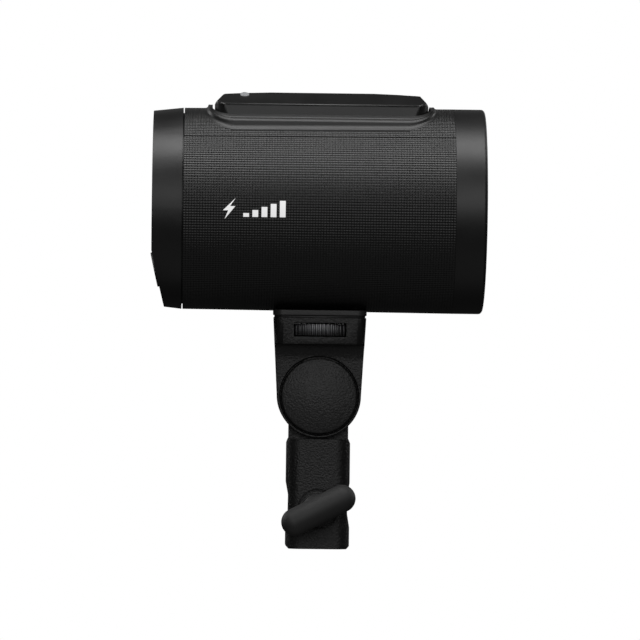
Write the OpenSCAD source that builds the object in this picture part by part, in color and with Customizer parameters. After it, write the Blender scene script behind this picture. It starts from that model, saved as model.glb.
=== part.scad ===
// Monolight strobe: a battery flash head on a tilting stand adapter.
// Millimetres. +Z is up, +X is the way the light shines, and the origin is the centre of the
// stand socket's mouth.

/* [Head] */
// Radius of the head where its textured skin meets the front ring
head_r_front = 41.1; // [40.8:0.1:41.6]
// Radius of the head where its textured skin meets the rear cap
head_r_rear = 40.4; // [40.2:0.1:41]
// Height of the light's axis above the mouth of the stand socket
head_z = 135.8; // [135:0.1:137]
// Distance from the stand axis forward to the front rim
front_x = 65.2; // [65:0.1:66]
// Distance from the stand axis back to the rear face
rear_x = 67.5; // [67:0.1:68]
// Distance from the stand axis forward to the end of the textured skin
skin_front = 52.8; // [52.4:0.1:53]
// Distance from the stand axis back to the end of the textured skin
skin_rear = 55.1; // [54.8:0.1:55.4]
// Inner radius of the shells
shell_in_r = 38.2; // [38:0.1:38.4]
// Half of the arc that the top cover spans
cover_half_angle = 45.6; // [44:0.1:47]

/* [Rear panel] */
// Slope of the control facet from the vertical
facet_tilt = 12.5; // [11:0.5:14]
// Height of the facet's upper edge below the light's axis
facet_top = 17.4; // [17:0.1:18]
// Radius of the rotary ring
dial_r = 7; // [6.5:0.1:7.2]
// Radius of the power and test buttons
key_r = 4.2; // [3.8:0.1:4.4]
// Sideways distance of the power and test buttons from the centre
key_y = 17; // [16:0.5:19]

/* [Battery] */
// Length of the battery
battery_l = 85.4; // [84.8:0.1:86]
// Width of the battery
battery_w = 36.8; // [36.4:0.1:37.2]
// Height of the battery's crest above the light's axis
battery_top = 47; // [46.5:0.1:47.5]
// Play between the battery and the rim of its bay
bay_gap = 0.8; // [0.7:0.1:0.9]

/* [Stand adapter] */
// Radius of the stand socket's bore
bore_r = 8.1; // [8:0.05:8.2]
// Depth of the stand socket's bore
bore_depth = 40; // [38:1:41]
// Width and depth of the stand socket
socket_w = 25.5; // [25:0.1:26]
// Height of the tilt axis above the mouth of the socket
tilt_z = 61.2; // [61:0.1:61.6]
// Radius of the rounded ends of the fork's arms
arm_r = 16.75; // [16.5:0.05:16.9]
// Radius of the round caps on the tilt joint
cap_r = 15.1; // [14.8:0.1:15.2]
// Height of the clamp screw above the mouth of the socket
clamp_z = 16; // [15:0.5:17]
// Turn of the clamp's bar from the horizontal
clamp_turn = 27.3; // [0:0.1:45]
// Length of the clamp and tilt bars
bar_l = 31.8; // [30:0.1:33]
// Thickness of the clamp and tilt bars
bar_d = 11; // [10.6:0.1:11.2]

/* [Hidden] */
$fn = 96;
fit = 0.05;                     // running clearance on a radius or a face
seam = 0.15;                    // joint line between neighbouring shells
far = 90;                       // reach of a cutting shape

plastic = "#1d1e20";            // moulded casings
soft = "#2b2c2e";               // rubber-coated grips
metal = "#8d9094";              // steel and aluminium
brass = "#b39250";
board_green = "#2f5d46";
copper = "#a8693a";

// Head stations along X and radii
cap_front = skin_rear + 0.5;    // front edge of the rear cap, behind an open groove
rear_r = head_r_rear - 1.3;     // radius of the rear face
cap_in_r = 36.6;
spigot_r = shell_in_r - fit;
edge_round = 1.5;               // rounding of the front rim
glass_r = 35.2;
glass_x = 60.2;
glass_t = 2.5;
lip_x = glass_x + glass_t + 0.1;
bulkhead_x = 36;
heatsink_r = 12;

// Display
window_r = 35.6;
window_low = 15.6;
window_t = 1.5;
screen = [44, 33];
screen_z = 3.5;

// Bay and battery, measured from the light's axis
battery_low = 22;
battery_seam = 36.4;            // parting height of the battery's case and cover
shoulder = [17.3, 41.7];        // half-width and height where the flank meets the slope
crest_w = 8;                    // half-width of the flat crest
battery_wall = 1.4;
battery_x = -0.4;               // middle of the battery along X
slope_angle = atan((battery_top - 0.3 - shoulder.y) / (shoulder.x - crest_w));
rim_wall = 1.9;
rim_arc_r = 45.7;               // the rim's top follows a flatter arc than the shell
rim_arc_drop = 3.9;
rim_half_w = 24.3;
bay_floor = battery_low - 0.5;
bay_wall = 1.2;
charge_x = -31.2;
charge_z = 45.6;
charge_r = 1.85;
release_x = [31, 37.8];
release_travel = 2;

// Stand adapter
fork_in = 6.65;                 // inner face of each arm
fork_out = 11.5;                // outer face of each arm
box_half_d = 16.2;              // half-depth of the box above the arms
fork_top_w = 18.6;              // half-width of the adapter at the head
fork_top = 92.6;
box_low = 82;
crotch = 75.2;
plate_top = 95.6;
shadow_gap = 0.8;               // height of the recessed line between the box and its plate
corner_r = 4;
wheel_z = [85.3, 90.1];
wheel_r = 15.2;
pocket_z = 84.9;
window_half = 10.5;
window_top = 90.5;
stud_r = 3.175;
insert_r = 5.4;
axle_r = 4;
thread_r = 3;
tongue_half = 5.85;
neck_half = 11.95;
shoulder_z = tilt_z - arm_r - 0.55;
screw_r = 4;
bush_r = 6.5;
flange_r = 7.1;
clamp_room = 2.3;               // travel left between the clamp's hub and its bush
plate_screw = [14.9, 10.9];
bay_screw = [34.5, 12];
knurls = 60;

// ---------- shape helpers ----------

// A block between two opposite corners
module block(low, high) {
    translate(low) cube(high - low);
}

// Round bars along each axis
module rod_x(r, x0, x1) {
    translate([x0, 0, 0]) rotate([0, 90, 0]) cylinder(r = r, h = x1 - x0);
}

module rod_y(r, y0, y1) {
    translate([0, y0, 0]) rotate([-90, 0, 0]) cylinder(r = r, h = y1 - y0);
}

module rod_z(r, z0, z1) {
    translate([0, 0, z0]) cylinder(r = r, h = z1 - z0);
}

module cone_x(r0, r1, x0, x1) {
    translate([x0, 0, 0]) rotate([0, 90, 0]) cylinder(r1 = r0, r2 = r1, h = x1 - x0);
}

module tube_x(r_out, r_in, x0, x1) {
    difference() {
        rod_x(r_out, x0, x1);
        rod_x(r_in, x0 - 1, x1 + 1);
    }
}

// A flat (Y, Z) outline drawn out along X, and a flat (X, Z) outline drawn out along Y
module along_x(x0, x1) {
    translate([x0, 0, 0]) rotate([90, 0, 90]) linear_extrude(x1 - x0) children();
}

module along_y(y0, y1) {
    translate([0, y1, 0]) rotate([90, 0, 0]) linear_extrude(y1 - y0) children();
}

// A (radius, X) outline turned round the X axis
module turned_x() {
    rotate([0, 90, 0]) rotate_extrude() children();
}

module rounded_rect(size, r) {
    square([size.x - 2 * r, size.y], center = true);
    square([size.x, size.y - 2 * r], center = true);
    for (x = [-1, 1], y = [-1, 1])
        translate([x * (size.x / 2 - r), y * (size.y / 2 - r)]) circle(r);
}

module both_sides() {
    children();
    mirror([0, 1, 0]) children();
}

// ---------- frames ----------

module at_head() {
    translate([0, 0, head_z]) children();
}

// Middle of the control facet: +X runs up the facet and +Z points out of it
module at_facet() {
    drop = dial_r * cos(facet_tilt) + 0.4;
    translate([-rear_x + drop * tan(facet_tilt), 0, -facet_top - drop])
        rotate([0, -90 - facet_tilt, 0]) children();
}

// The battery's sloping flank where the charge button sits: +Z points out of it
module at_charge_button() {
    y = shoulder.x - (charge_z - shoulder.y) / tan(slope_angle);
    translate([charge_x, -y, charge_z]) rotate([slope_angle, 0, 0]) children();
}

module at_tilt() {
    translate([0, 0, tilt_z]) children();
}

module at_clamp() {
    translate([0, 0, clamp_z]) children();
}

// ---------- head casings ----------

function skin_r(x) = head_r_rear + (head_r_front - head_r_rear) * (x + skin_rear) / (skin_front + skin_rear);

module skin_solid() {
    cone_x(skin_r(-skin_rear), skin_r(skin_front), -skin_rear, skin_front);
}

module skin_wall() {
    difference() {
        skin_solid();
        rod_x(shell_in_r, -far, far);
    }
}

// Everything within an angle of straight up, seen along X
module top_wedge(angle) {
    side = far * sin(angle);
    along_x(-far, far)
        polygon([[0, 0], [side, far * cos(angle)], [side, far], [-side, far], [-side, far * cos(angle)]]);
}

module main_shell() {
    color(plastic) at_head() difference() {
        union() {
            difference() {
                skin_wall();
                top_wedge(cover_half_angle);
            }
            rod_z(insert_r + 3, -shell_in_r - 0.8, -33.3);
        }
        rod_z(insert_r + 0.02, -far, -30);
    }
}

module rim_plan(grow = 0) {
    length = battery_l + 2 * bay_gap + 2 * grow;
    width = battery_w + 2 * bay_gap + 2 * grow * (rim_half_w - battery_w / 2 - bay_gap) / rim_wall;
    translate([battery_x, 0]) rounded_rect([length, width], 8 + grow);
}

module top_cover() {
    color(plastic) at_head() difference() {
        union() {
            intersection() {
                skin_wall();
                top_wedge(cover_half_angle - 0.2);
            }
            intersection() {
                linear_extrude(far) rim_plan(rim_wall);
                translate([0, 0, -rim_arc_drop]) rod_x(rim_arc_r, -far, far);
                difference() {
                    rod_x(far, -skin_rear, skin_front);
                    rod_x(shell_in_r, -far, far);
                }
            }
        }
        linear_extrude(far) rim_plan();
    }
}

module rear_cap() {
    color(plastic) at_head() difference() {
        union() {
            difference() {
                cone_x(rear_r, head_r_rear, -rear_x, -cap_front);
                at_facet() block([-far, -far, 0], [far, far, far]);
            }
            rod_x(spigot_r, -cap_front - 2, -50);
        }
        difference() {
            rod_x(cap_in_r, -rear_x + 2.9, 0);
            at_facet() block([-far, -far, -2.2], [far, far, far]);
        }
        along_x(-rear_x - 1, -rear_x + window_t + 0.2) window_outline(0.1);
        along_x(-rear_x - 1, -60) translate([0, screen_z]) square(screen + [0.4, 0.4], center = true);
        at_facet() {
            rod_z(dial_r + 0.2, -5, 2);
            both_sides() translate([0, key_y, 0]) rod_z(key_r + 0.15, -5, 2);
        }
        along_y(30, 45) usb_outline(0.1);
    }
}

module front_ring() {
    color(plastic) at_head() difference() {
        turned_x() difference() {
            union() {
                translate([34, skin_front]) square([head_r_front - 34, front_x - edge_round - skin_front]);
                translate([34, skin_front]) square([head_r_front - edge_round - 34, front_x - skin_front]);
                translate([head_r_front - edge_round, front_x - edge_round]) circle(edge_round);
                translate([36.4, 46.5]) square([spigot_r - 36.4, 8]);
            }
            translate([33, skin_front - 1]) square([glass_r + 0.2 - 33, lip_x - skin_front + 1]);
            translate([33, skin_front + 1.8]) square([39.4 - 33, 59 - skin_front - 1.8]);
            polygon([[33, lip_x - 0.5], [34, lip_x], [34 + front_x - lip_x + 0.3, front_x + 0.3], [33, front_x + 0.3]]);
            translate([33, skin_front - 1]) square([3.4, 4]);
        }
        for (a = [0:45:315]) rotate([a + 22.5, 0, 0]) translate([0, 0, 37.7]) rod_x(1.8, 50, 63.9);
    }
}

module bay_tub() {
    color(plastic) at_head() difference() {
        intersection() {
            translate([battery_x, 0, bay_floor - bay_wall]) linear_extrude(20)
                rounded_rect([battery_l + 2 * bay_gap + 2 * bay_wall, battery_w + 2 * bay_gap + 2 * bay_wall], 8 + bay_wall);
            rod_x(shell_in_r - fit, -far, far);
        }
        translate([0, 0, bay_floor]) linear_extrude(far) rim_plan();
        bay_screw_places() rod_z(1.3, 10, 30);
        block([-30.2, -8.2, 10], [-21.8, 8.2, 30]);
    }
}

module bay_screw_places() {
    for (x = [-1, 1], y = [-1, 1]) translate([x * bay_screw.x, y * bay_screw.y, 0]) children();
}

module bay_screws() {
    color(metal) at_head() bay_screw_places() {
        rod_z(1.25, 16, bay_floor + 0.02);
        rod_z(2.2, bay_floor, bay_floor + 0.4);
    }
}

// Spring contacts that reach up through the bay's floor to the battery's pads
module bay_contacts() {
    color(brass) at_head() {
        block([-30, -8, bay_floor - 3.4], [-22, 8, bay_floor - 0.2]);
        for (y = [-6:3:6]) translate([-26, y, 0]) rod_z(0.8, bay_floor - 0.5, battery_low - 0.05);
    }
}

module thread_insert() {
    color(brass) at_head() difference() {
        rod_z(insert_r, -skin_r(0) + 0.4, -33.3);
        rod_z(stud_r + 0.12, -far, 0);
    }
}

// ---------- light end ----------

module front_glass() {
    color("#e8e9ea") at_head() rod_x(glass_r, glass_x, glass_x + glass_t);
}

module glass_gasket() {
    color(soft) at_head() tube_x(glass_r, 33.8, 59.05, glass_x - fit);
}

module magnets() {
    color(metal) at_head() for (a = [0:45:315]) rotate([a + 22.5, 0, 0]) translate([0, 0, 37.7]) rod_x(1.75, 60.4, 63.85);
}

// Radius of the reflector's bowl at a share t of its depth
function bowl_r(t) = 12.6 + 21 * pow(t, 0.6);

module reflector() {
    bowl = [for (t = [0:0.1:1]) [bowl_r(t), 43 + 15 * t]];
    back = [for (t = [1:-0.1:0]) [bowl_r(t) + 0.9, 43 + 15 * t]];
    color("#d6d8da") at_head() difference() {
        union() {
            turned_x() polygon(concat(bowl, back));
            tube_x(39.2, bowl_r(1), 58, 58.9);
        }
        tube_legs(3.8);
    }
}

// The two straight ends of the flash tube, which pass back through the reflector
module tube_legs(r, end = 62) {
    for (a = [162, 198]) rotate([a, 0, 0]) translate([0, 0, 20]) rod_x(r, 39.5, end);
}

// A ring of glass tube, open at the bottom, with a straight metal-capped leg at each end
module flash_tube() {
    color("#eceef0") at_head() {
        difference() {
            translate([50.5, 0, 0]) turned_x() translate([20, 0]) circle(3);
            along_x(40, 60) polygon([[0, 0], [13, -40], [-13, -40]]);
        }
        tube_legs(3.4, 54);
    }
}

module tube_holders() {
    color("#e4dfd2") at_head() difference() {
        for (a = [162, 198]) rotate([a, 0, 0]) translate([0, 0, 20]) rod_x(5, 39.05, 42.9);
        tube_legs(3.45);
    }
}

module led_module() {
    color("#e9e4c9") at_head() {
        rod_x(12.2, 42.05, 43.4);
        rod_x(8.5, 43.4, 44.2);
    }
}

module led_heatsink() {
    color(metal) at_head() {
        rod_x(13, 39.05, 42);
        intersection() {
            rod_x(heatsink_r, 25, 39.05);
            for (y = [-10:4:10]) block([25, y - 0.8, -heatsink_r], [39.1, y + 0.8, heatsink_r]);
        }
    }
}

// ---------- inside the head ----------

module chassis() {
    color("#3a3c3f") at_head() difference() {
        union() {
            rod_x(37.9, bulkhead_x, bulkhead_x + 3);
            rod_x(37.9, -48.5, -46.5);
            both_sides() block([-47, 33.5, -8], [bulkhead_x + 1, 36, 8]);
            block([-47, -14, 15.5], [-33, 14, 19.8]);
            block([32, -14, 15.5], [bulkhead_x + 1, 14, 19.8]);
        }
        bay_screw_places() rod_z(1.3, 15, 20);
        block([-far, -far, 19.8], [far, far, far]);
        rod_x(heatsink_r + 1, 20, 60);
        rod_x(20, -60, -40);
    }
}

module capacitor_rods(r, x0, x1) {
    both_sides() translate([0, 15, -16]) rod_x(r, x0, x1);
}

module flash_capacitors() {
    color("#26292f") at_head() capacitor_rods(14, -38, 22);
}

module capacitor_bracket() {
    color("#3a3c3f") at_head() difference() {
        intersection() {
            rod_x(37.6, -30, -25);
            block([-40, -40, -40], [0, 40, 2]);
        }
        capacitor_rods(14.05, -40, 30);
        block([-40, 33.3, -8.2], [0, 50, 8.2]);
        block([-40, -50, -8.2], [0, -33.3, 8.2]);
    }
}

module main_board() {
    color(board_green) at_head() block([-46, -33.3, 3], [22, 33.3, 4.6]);
}

module board_components() {
    color("#33363b") at_head() {
        for (x = [-42:7:-14]) translate([x, -14, 0]) rod_z(2.8, 4.6, 14);
        block([-40, 2, 4.6], [-28, 14, 6.4]);
        block([-24, -4, 4.6], [-12, 8, 6.8]);
        block([-6, -30, 4.6], [0, -18, 11]);
        block([-44, -30, 4.6], [-24, -22, 9]);
        block([12, -12, 4.6], [20, 4, 10]);
    }
}

module trigger_coil() {
    color(copper) at_head() translate([0, -22, 11]) {
        rod_x(5.5, 8, 30);
        rod_x(6, 8, 9.5);
        rod_x(6, 28.5, 30);
    }
}

module charge_transformer() {
    color(copper) at_head() {
        block([-8, 11, 4.6], [14, 13, 19]);
        block([-8, 27, 4.6], [14, 29, 19]);
        block([-5, 13, 5.6], [11, 27, 18]);
    }
}

module switch_module() {
    color("#222428") at_head() {
        block([-6, -14, 4.6], [8, 0, 7.5]);
        for (y = [-13:3:-1]) block([-6, y - 0.5, 7.5], [8, y + 0.5, 15]);
    }
}

module radio_board() {
    color(board_green) at_head() {
        block([-44, 23, 4.6], [-16, 24.2, 17]);
        block([-40, 21.4, 6], [-28, 23, 15]);
    }
}

// ---------- rear panel ----------

module window_outline(grow) {
    intersection() {
        circle(window_r + grow);
        translate([-far, -window_low - grow]) square(2 * far);
    }
}

module display_window() {
    color("#0b0c0e") at_head() along_x(-rear_x + 0.1, -rear_x + 0.1 + window_t) window_outline(0);
}

module display_panel() {
    color("#15181c") at_head()
        along_x(-rear_x + window_t + 0.25, -rear_x + 4.2) translate([0, screen_z]) square(screen, center = true);
}

module control_board() {
    color(board_green) at_head() rod_x(34.5, -58.6, -57);
}

module dial_encoder() {
    color("#3b3e42") at_head() at_facet() difference() {
        rod_z(7.8, -5.7, -4.15);
        rod_z(3.9, -far, far);
    }
}

module key_switches() {
    color("#3b3e42") at_head() at_facet() {
        both_sides() block([-2.5, key_y - 2.5, -5.4], [2.5, key_y + 2.5, -3.95]);
        block([-2, -2, -6.7], [2, 2, -5.6]);
    }
}

module usb_outline(grow) {
    translate([-61.5, 6]) rounded_rect([3.2 + 2 * grow, 9 + 2 * grow], 1.5 + grow);
}

module usb_socket() {
    color(metal) at_head() {
        difference() {
            along_y(31, 39) usb_outline(0);
            along_y(33, 45) usb_outline(-0.3);
        }
        block([-61.85, 32.5, 2.9], [-61.15, 38, 9.1]);
    }
}

module dial_ring() {
    color(soft) at_head() at_facet() difference() {
        union() {
            rod_z(dial_r, -4, 0.9);
            rod_z(dial_r + 0.6, -4, -3.3);
        }
        rod_z(4, -far, far);
    }
}

module push_key(r, low, high) {
    rod_z(r, low, high);
    rod_z(r + 0.9, low, low + 0.8);
}

module select_button() {
    color(plastic) at_head() at_facet() {
        rod_z(3.1, -2.2, 0.6);
        rod_z(1.5, -5, -2.2);
    }
}

module power_button() {
    color(plastic) at_head() at_facet() translate([0, -key_y, 0]) push_key(key_r, -3.4, 0.5);
}

module test_button() {
    color(plastic) at_head() at_facet() translate([0, key_y, 0]) push_key(key_r, -3.4, 0.5);
}

// ---------- battery ----------

// The battery's outside, or its inside at a wall's depth
module battery_solid(inset = 0) {
    half_w = battery_w / 2 - inset;
    half_l = battery_l / 2 - inset;
    crest = battery_top - 0.3 - inset;
    intersection() {
        along_x(-far, far) polygon([
            [-half_w, battery_low + inset], [half_w, battery_low + inset],
            [half_w, battery_seam], [shoulder.x - inset, shoulder.y - 0.4 * inset],
            [crest_w - 0.4 * inset, crest], [0.4 * inset - crest_w, crest],
            [inset - shoulder.x, shoulder.y - 0.4 * inset], [-half_w, battery_seam]
        ]);
        linear_extrude(far) translate([battery_x, 0])
            rounded_rect([2 * half_l, 2 * half_w], 7.5 - inset);
        translate([battery_x, 0, 0]) along_y(-far, far) polygon([
            [-half_l, 0], [half_l, 0], [half_l, 41.9 - inset], [half_l - 4.4, 47.2 - inset],
            [4.4 - half_l, 46.8 - inset], [-half_l, 41.9 - inset]
        ]);
        translate([0, 0, battery_top - 700]) rod_y(700 - inset, -far, far);
    }
}

module battery_part(low, high) {
    intersection() {
        difference() {
            battery_solid();
            battery_solid(battery_wall);
        }
        block([-far, -far, low], [far, far, high]);
    }
}

module battery_case() {
    color(plastic) at_head() difference() {
        battery_part(0, battery_seam - fit / 2);
        block([-30, -8, 20], [-22, 8, battery_low + battery_wall + 0.01]);
    }
}

module battery_cover() {
    color(plastic) at_head() difference() {
        battery_part(battery_seam + fit / 2, far);
        at_charge_button() rod_z(charge_r + 0.1, -5, 3);
        block([release_x[0] - release_travel - 0.4, -7.2, 40], [release_x[1] + 0.2, 7.2, 50]);
    }
}

module battery_cells() {
    color("#4a6a8c") at_head() for (x = [-37, -1], y = [-1, 1])
        translate([battery_x, y * 8.35, 32.6]) rod_x(8.2, x, x + 34);
}

module battery_board() {
    color(board_green) at_head() difference() {
        block([-38, -14, 41], [27, 14, 41.8]);
        block([charge_x - 3.5, -20, 40], [charge_x + 3.5, -7, 43]);
    }
}

module battery_pads() {
    color(brass) at_head() difference() {
        block([-29.95, -7.95, battery_low + 0.1], [-22.05, 7.95, battery_low + 1.3]);
        block([-35, 9, 0], [-20, 20, 60]);
    }
}

module charge_button() {
    color("#c9cbcd") at_head() at_charge_button() {
        rod_z(charge_r, -2.3, 0.3);
        rod_z(charge_r + 0.5, -3, -2.3);
    }
}

// The slider's thumb pad, with a floor that runs in the cover's slot
module release_slider() {
    color(soft) at_head() {
        block([release_x[0], -7, 43.6], [release_x[1], 7, 45.6]);
        for (x = [release_x[0] + 1:1.5:release_x[1] - 0.8]) block([x, -6, 45.6], [x + 0.7, 6, 46]);
    }
}

module release_spring() {
    color(metal) at_head() translate([0, 0, 42.6]) both_sides() translate([0, 4, 0]) rod_x(0.8, 30, 37);
}

// ---------- stand adapter ----------

// Half-width of the fork at a height: it widens from the tilt axis up to the head
function fork_w(z) = arm_r + (fork_top_w - arm_r) * (z - tilt_z) / (plate_top - tilt_z);

module fork_outline(low, high) {
    polygon([[-fork_w(low), low], [fork_w(low), low], [fork_w(high), high], [-fork_w(high), high]]);
}

// One side of the fillet under the box, listed upwards for side 1 and downwards for side -1
function cove(side) = [for (i = [0:6]) let (a = (side > 0 ? i : 6 - i) * 14)
    [side * (box_half_d - (box_half_d - fork_out) * cos(a)), crotch + (box_low + 0.2 - crotch) * sin(a)]];

module fork_bracket() {
    color(plastic) difference() {
        union() {
            both_sides() along_y(fork_in, fork_out) {
                fork_outline(tilt_z, crotch + 1);
                translate([0, tilt_z]) circle(arm_r);
            }
            along_y(-fork_out, fork_out) fork_outline(crotch, box_low + 1);
            intersection() {
                along_y(-box_half_d, box_half_d) fork_outline(crotch, box_low + 1);
                along_x(-fork_top_w, fork_top_w) polygon(concat(cove(1), cove(-1)));
            }
            intersection() {
                along_y(-box_half_d, box_half_d) fork_outline(box_low, fork_top);
                linear_extrude(200) rounded_rect([2 * fork_top_w, 2 * box_half_d], corner_r);
            }
        }
        rod_z(wheel_r + 0.5, pocket_z, fork_top + 1);
        block([-window_half, -far, pocket_z], [window_half, far, window_top]);
        rod_z(3.05, 79, pocket_z + 1);
        at_tilt() {
            rod_y(axle_r + fit, -far, far);
            rod_y(8.2, -fork_out - 1, -8.95);
            both_sides() difference() {
                rod_y(cap_r + 0.7, fork_out - 1.4, fork_out + 1);
                rod_y(cap_r, fork_out - 2, fork_out + 2);
            }
        }
        plate_screw_places() rod_z(1.25, fork_top - 6, fork_top + 1);
    }
}

module plate_screw_places() {
    for (x = [-1, 1], y = [-1, 1]) translate([x * plate_screw.x, y * plate_screw.y, 0]) children();
}

// The plate that closes the wheel's pocket, hollowed on top to seat the round head
module saddle_plate() {
    color(soft) difference() {
        union() {
            translate([0, 0, fork_top + shadow_gap]) linear_extrude(plate_top - fork_top - shadow_gap)
                rounded_rect([2 * fork_top_w, 2 * box_half_d], corner_r);
            translate([0, 0, fork_top + fit]) linear_extrude(1)
                rounded_rect([2 * fork_top_w - 1.8, 2 * box_half_d - 1.8], corner_r - 0.9);
            rod_z(wheel_r + 0.4, window_top + 0.05, fork_top + 1);
        }
        at_head() rod_x(head_r_front - 0.1, -far, far);
        rod_z(stud_r + 0.2, 80, 110);
        plate_screw_places() {
            rod_z(1.35, 80, 110);
            rod_z(2.3, plate_top - 1.6, 110);
        }
    }
}

module plate_screws() {
    color(metal) plate_screw_places() {
        rod_z(1.2, fork_top - 5, plate_top - 1.5);
        rod_z(2.2, plate_top - 1.55, plate_top - 0.3);
    }
}

module thumbwheel() {
    color(metal) translate([0, 0, wheel_z[0]]) linear_extrude(wheel_z[1] - wheel_z[0]) difference() {
        circle(wheel_r);
        for (i = [0:knurls - 1]) rotate(i * 360 / knurls) translate([wheel_r, 0]) circle(0.35, $fn = 16);
        circle(stud_r + 0.02);
    }
}

module head_stud() {
    color(metal) {
        rod_z(3, 79.5, wheel_z[0]);
        rod_z(stud_r, wheel_z[0], head_z - 33.8);
    }
}

module tilt_axle() {
    color(metal) at_tilt() {
        rod_y(axle_r, -11.4, 13.4);
        rod_y(8, -11.4, -9);
        rod_y(thread_r, 13.4, 21);
    }
}

module axle_cap() {
    color(plastic) at_tilt() rod_y(cap_r - 0.05, -14.2, -fork_out - fit);
}

module lock_plate() {
    color(plastic) at_tilt() difference() {
        rod_y(cap_r - 0.05, fork_out + fit, 13.6);
        rod_y(axle_r + fit, 0, 20);
    }
}

module lock_nut() {
    color(brass) at_tilt() difference() {
        rod_y(5, 13.7, 19);
        rod_y(thread_r + fit, 0, 30);
    }
}

// A bar with round ends, centred at a distance y on the Y axis
module grip_bar(y) {
    half = bar_l / 2 - bar_d / 2;
    translate([0, y, 0]) {
        rod_x(bar_d / 2, -half, half);
        for (x = [-half, half]) translate([x, 0, 0]) sphere(bar_d / 2);
    }
}

module lock_grip() {
    color(soft) at_tilt() rotate([0, 20, 0]) difference() {
        union() {
            grip_bar(22);
            rod_y(8, 13.7, 20);
        }
        rod_y(5.02, 0, 19.02);
        rod_y(thread_r + fit, 0, 21.5);
    }
}

module friction_washers() {
    color(brass) at_tilt() both_sides() difference() {
        rod_y(11, tongue_half + fit, fork_in - fit);
        rod_y(axle_r + 0.2, 0, 20);
    }
}

// Half of the socket's outline, with the waist at the clamp screw
socket_side = [
    [socket_w / 2 - 1.2, 0], [socket_w / 2, 1.2], [socket_w / 2, 8.5], [11.8, 14], [11.7, 21],
    [socket_w / 2, 26.5], [socket_w / 2, 42.2], [neck_half + 0.1, shoulder_z]
];

module socket_body() {
    left = [for (i = [len(socket_side) - 1:-1:0]) [-socket_side[i].x, socket_side[i].y]];
    color(plastic) difference() {
        union() {
            intersection() {
                along_y(-socket_w / 2, socket_w / 2) polygon(concat(socket_side, left));
                linear_extrude(far) rounded_rect([socket_w, socket_w], 6);
            }
            along_y(-tongue_half, tongue_half) {
                translate([-neck_half, shoulder_z - 2]) square([2 * neck_half, tilt_z - shoulder_z + 2]);
                translate([0, tilt_z]) circle(neck_half);
            }
        }
        rod_z(bore_r, -1, bore_depth);
        at_tilt() rod_y(axle_r + fit, -far, far);
        at_clamp() {
            rod_y(flange_r + 1.1, -far, -11.2);
            rod_y(bush_r + 0.02, -far, -9.95);
            rod_y(5.7, -12, -5);
        }
    }
}

module clamp_bush() {
    color(metal) at_clamp() difference() {
        union() {
            rod_y(flange_r, -15.2, -11.22);
            rod_y(bush_r, -12, -10);
        }
        rod_y(screw_r + fit, -far, 0);
    }
}

module clamp_shoe() {
    color(brass) at_clamp() rod_y(5.4, -9.9, -8.35);
}

module clamp_screw() {
    color(metal) at_clamp() rod_y(screw_r, -24, -9.95);
}

module clamp_grip() {
    hub = -15.2 - clamp_room;
    color(soft) at_clamp() rotate([0, -clamp_turn, 0]) difference() {
        union() {
            grip_bar(hub - 2.2 - bar_d / 2);
            rod_y(6.4, hub - 5, hub - 0.05);
        }
        rod_y(screw_r + 0.01, -24.02, 0);
    }
}

// ---------- one call per node ----------

socket_body();
clamp_bush();
friction_washers();
clamp_shoe();
clamp_screw();
clamp_grip();
fork_bracket();
saddle_plate();
plate_screws();
tilt_axle();
axle_cap();
lock_plate();
lock_nut();
lock_grip();
thumbwheel();
head_stud();
main_shell();
top_cover();
rear_cap();
front_ring();
bay_tub();
bay_screws();
bay_contacts();
thread_insert();
front_glass();
glass_gasket();
magnets();
reflector();
flash_tube();
tube_holders();
led_module();
led_heatsink();
chassis();
flash_capacitors();
capacitor_bracket();
main_board();
board_components();
trigger_coil();
charge_transformer();
switch_module();
radio_board();
display_window();
display_panel();
control_board();
dial_encoder();
key_switches();
usb_socket();
dial_ring();
select_button();
power_button();
test_button();
battery_case();
battery_cover();
battery_cells();
battery_board();
battery_pads();
charge_button();
release_slider();
release_spring();
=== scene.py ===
# %% [markdown]
# # A battery flash head on its tilting stand adapter
#
# The object is a short black cylinder that throws light out of its front end. A battery lifts out of
# the top, a control panel covers the rear, and a plastic adapter below tilts it and clamps it to a
# light stand. The mechanical model already gives every part its true place, so this lesson adds what
# that model leaves plain: the moulded grid on the casing, rounded edges, and the finish of each
# plastic, metal and glass. All of it is black on black, so the shapes are told by highlights alone.
# Edges that catch the light are therefore real rounded geometry and not a trick of shading.

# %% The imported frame
import math

import bmesh
import bpy
from mathutils import Matrix, Vector


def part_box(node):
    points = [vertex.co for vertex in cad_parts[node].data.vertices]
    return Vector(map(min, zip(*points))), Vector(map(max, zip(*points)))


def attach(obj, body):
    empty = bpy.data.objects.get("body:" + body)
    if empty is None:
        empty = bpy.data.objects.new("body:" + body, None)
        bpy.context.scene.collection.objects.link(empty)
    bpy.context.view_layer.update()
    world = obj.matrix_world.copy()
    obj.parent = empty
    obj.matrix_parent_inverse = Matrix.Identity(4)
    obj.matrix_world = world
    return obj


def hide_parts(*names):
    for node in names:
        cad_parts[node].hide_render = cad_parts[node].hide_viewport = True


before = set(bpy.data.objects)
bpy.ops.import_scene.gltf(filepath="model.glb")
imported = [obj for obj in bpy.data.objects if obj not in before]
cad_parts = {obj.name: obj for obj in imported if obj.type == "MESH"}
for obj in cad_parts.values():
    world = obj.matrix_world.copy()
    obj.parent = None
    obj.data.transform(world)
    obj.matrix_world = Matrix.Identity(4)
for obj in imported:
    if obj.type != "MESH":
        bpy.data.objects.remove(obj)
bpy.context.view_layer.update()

# %% [markdown]
# ## Working in millimetres
#
# The small shapes here are easier to read in millimetres, so each new mesh is built that way and
# scaled once, when it is finished. The few sizes that the pieces share are read from the frame's own
# boxes, so that nothing has to be fitted afterwards.

# %% Sizes read from the frame
MM = 0.001


def box_mm(node):
    """Lowest and highest corner of a part, in millimetres."""
    low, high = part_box(node)
    return Vector(low) / MM, Vector(high) / MM


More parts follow.
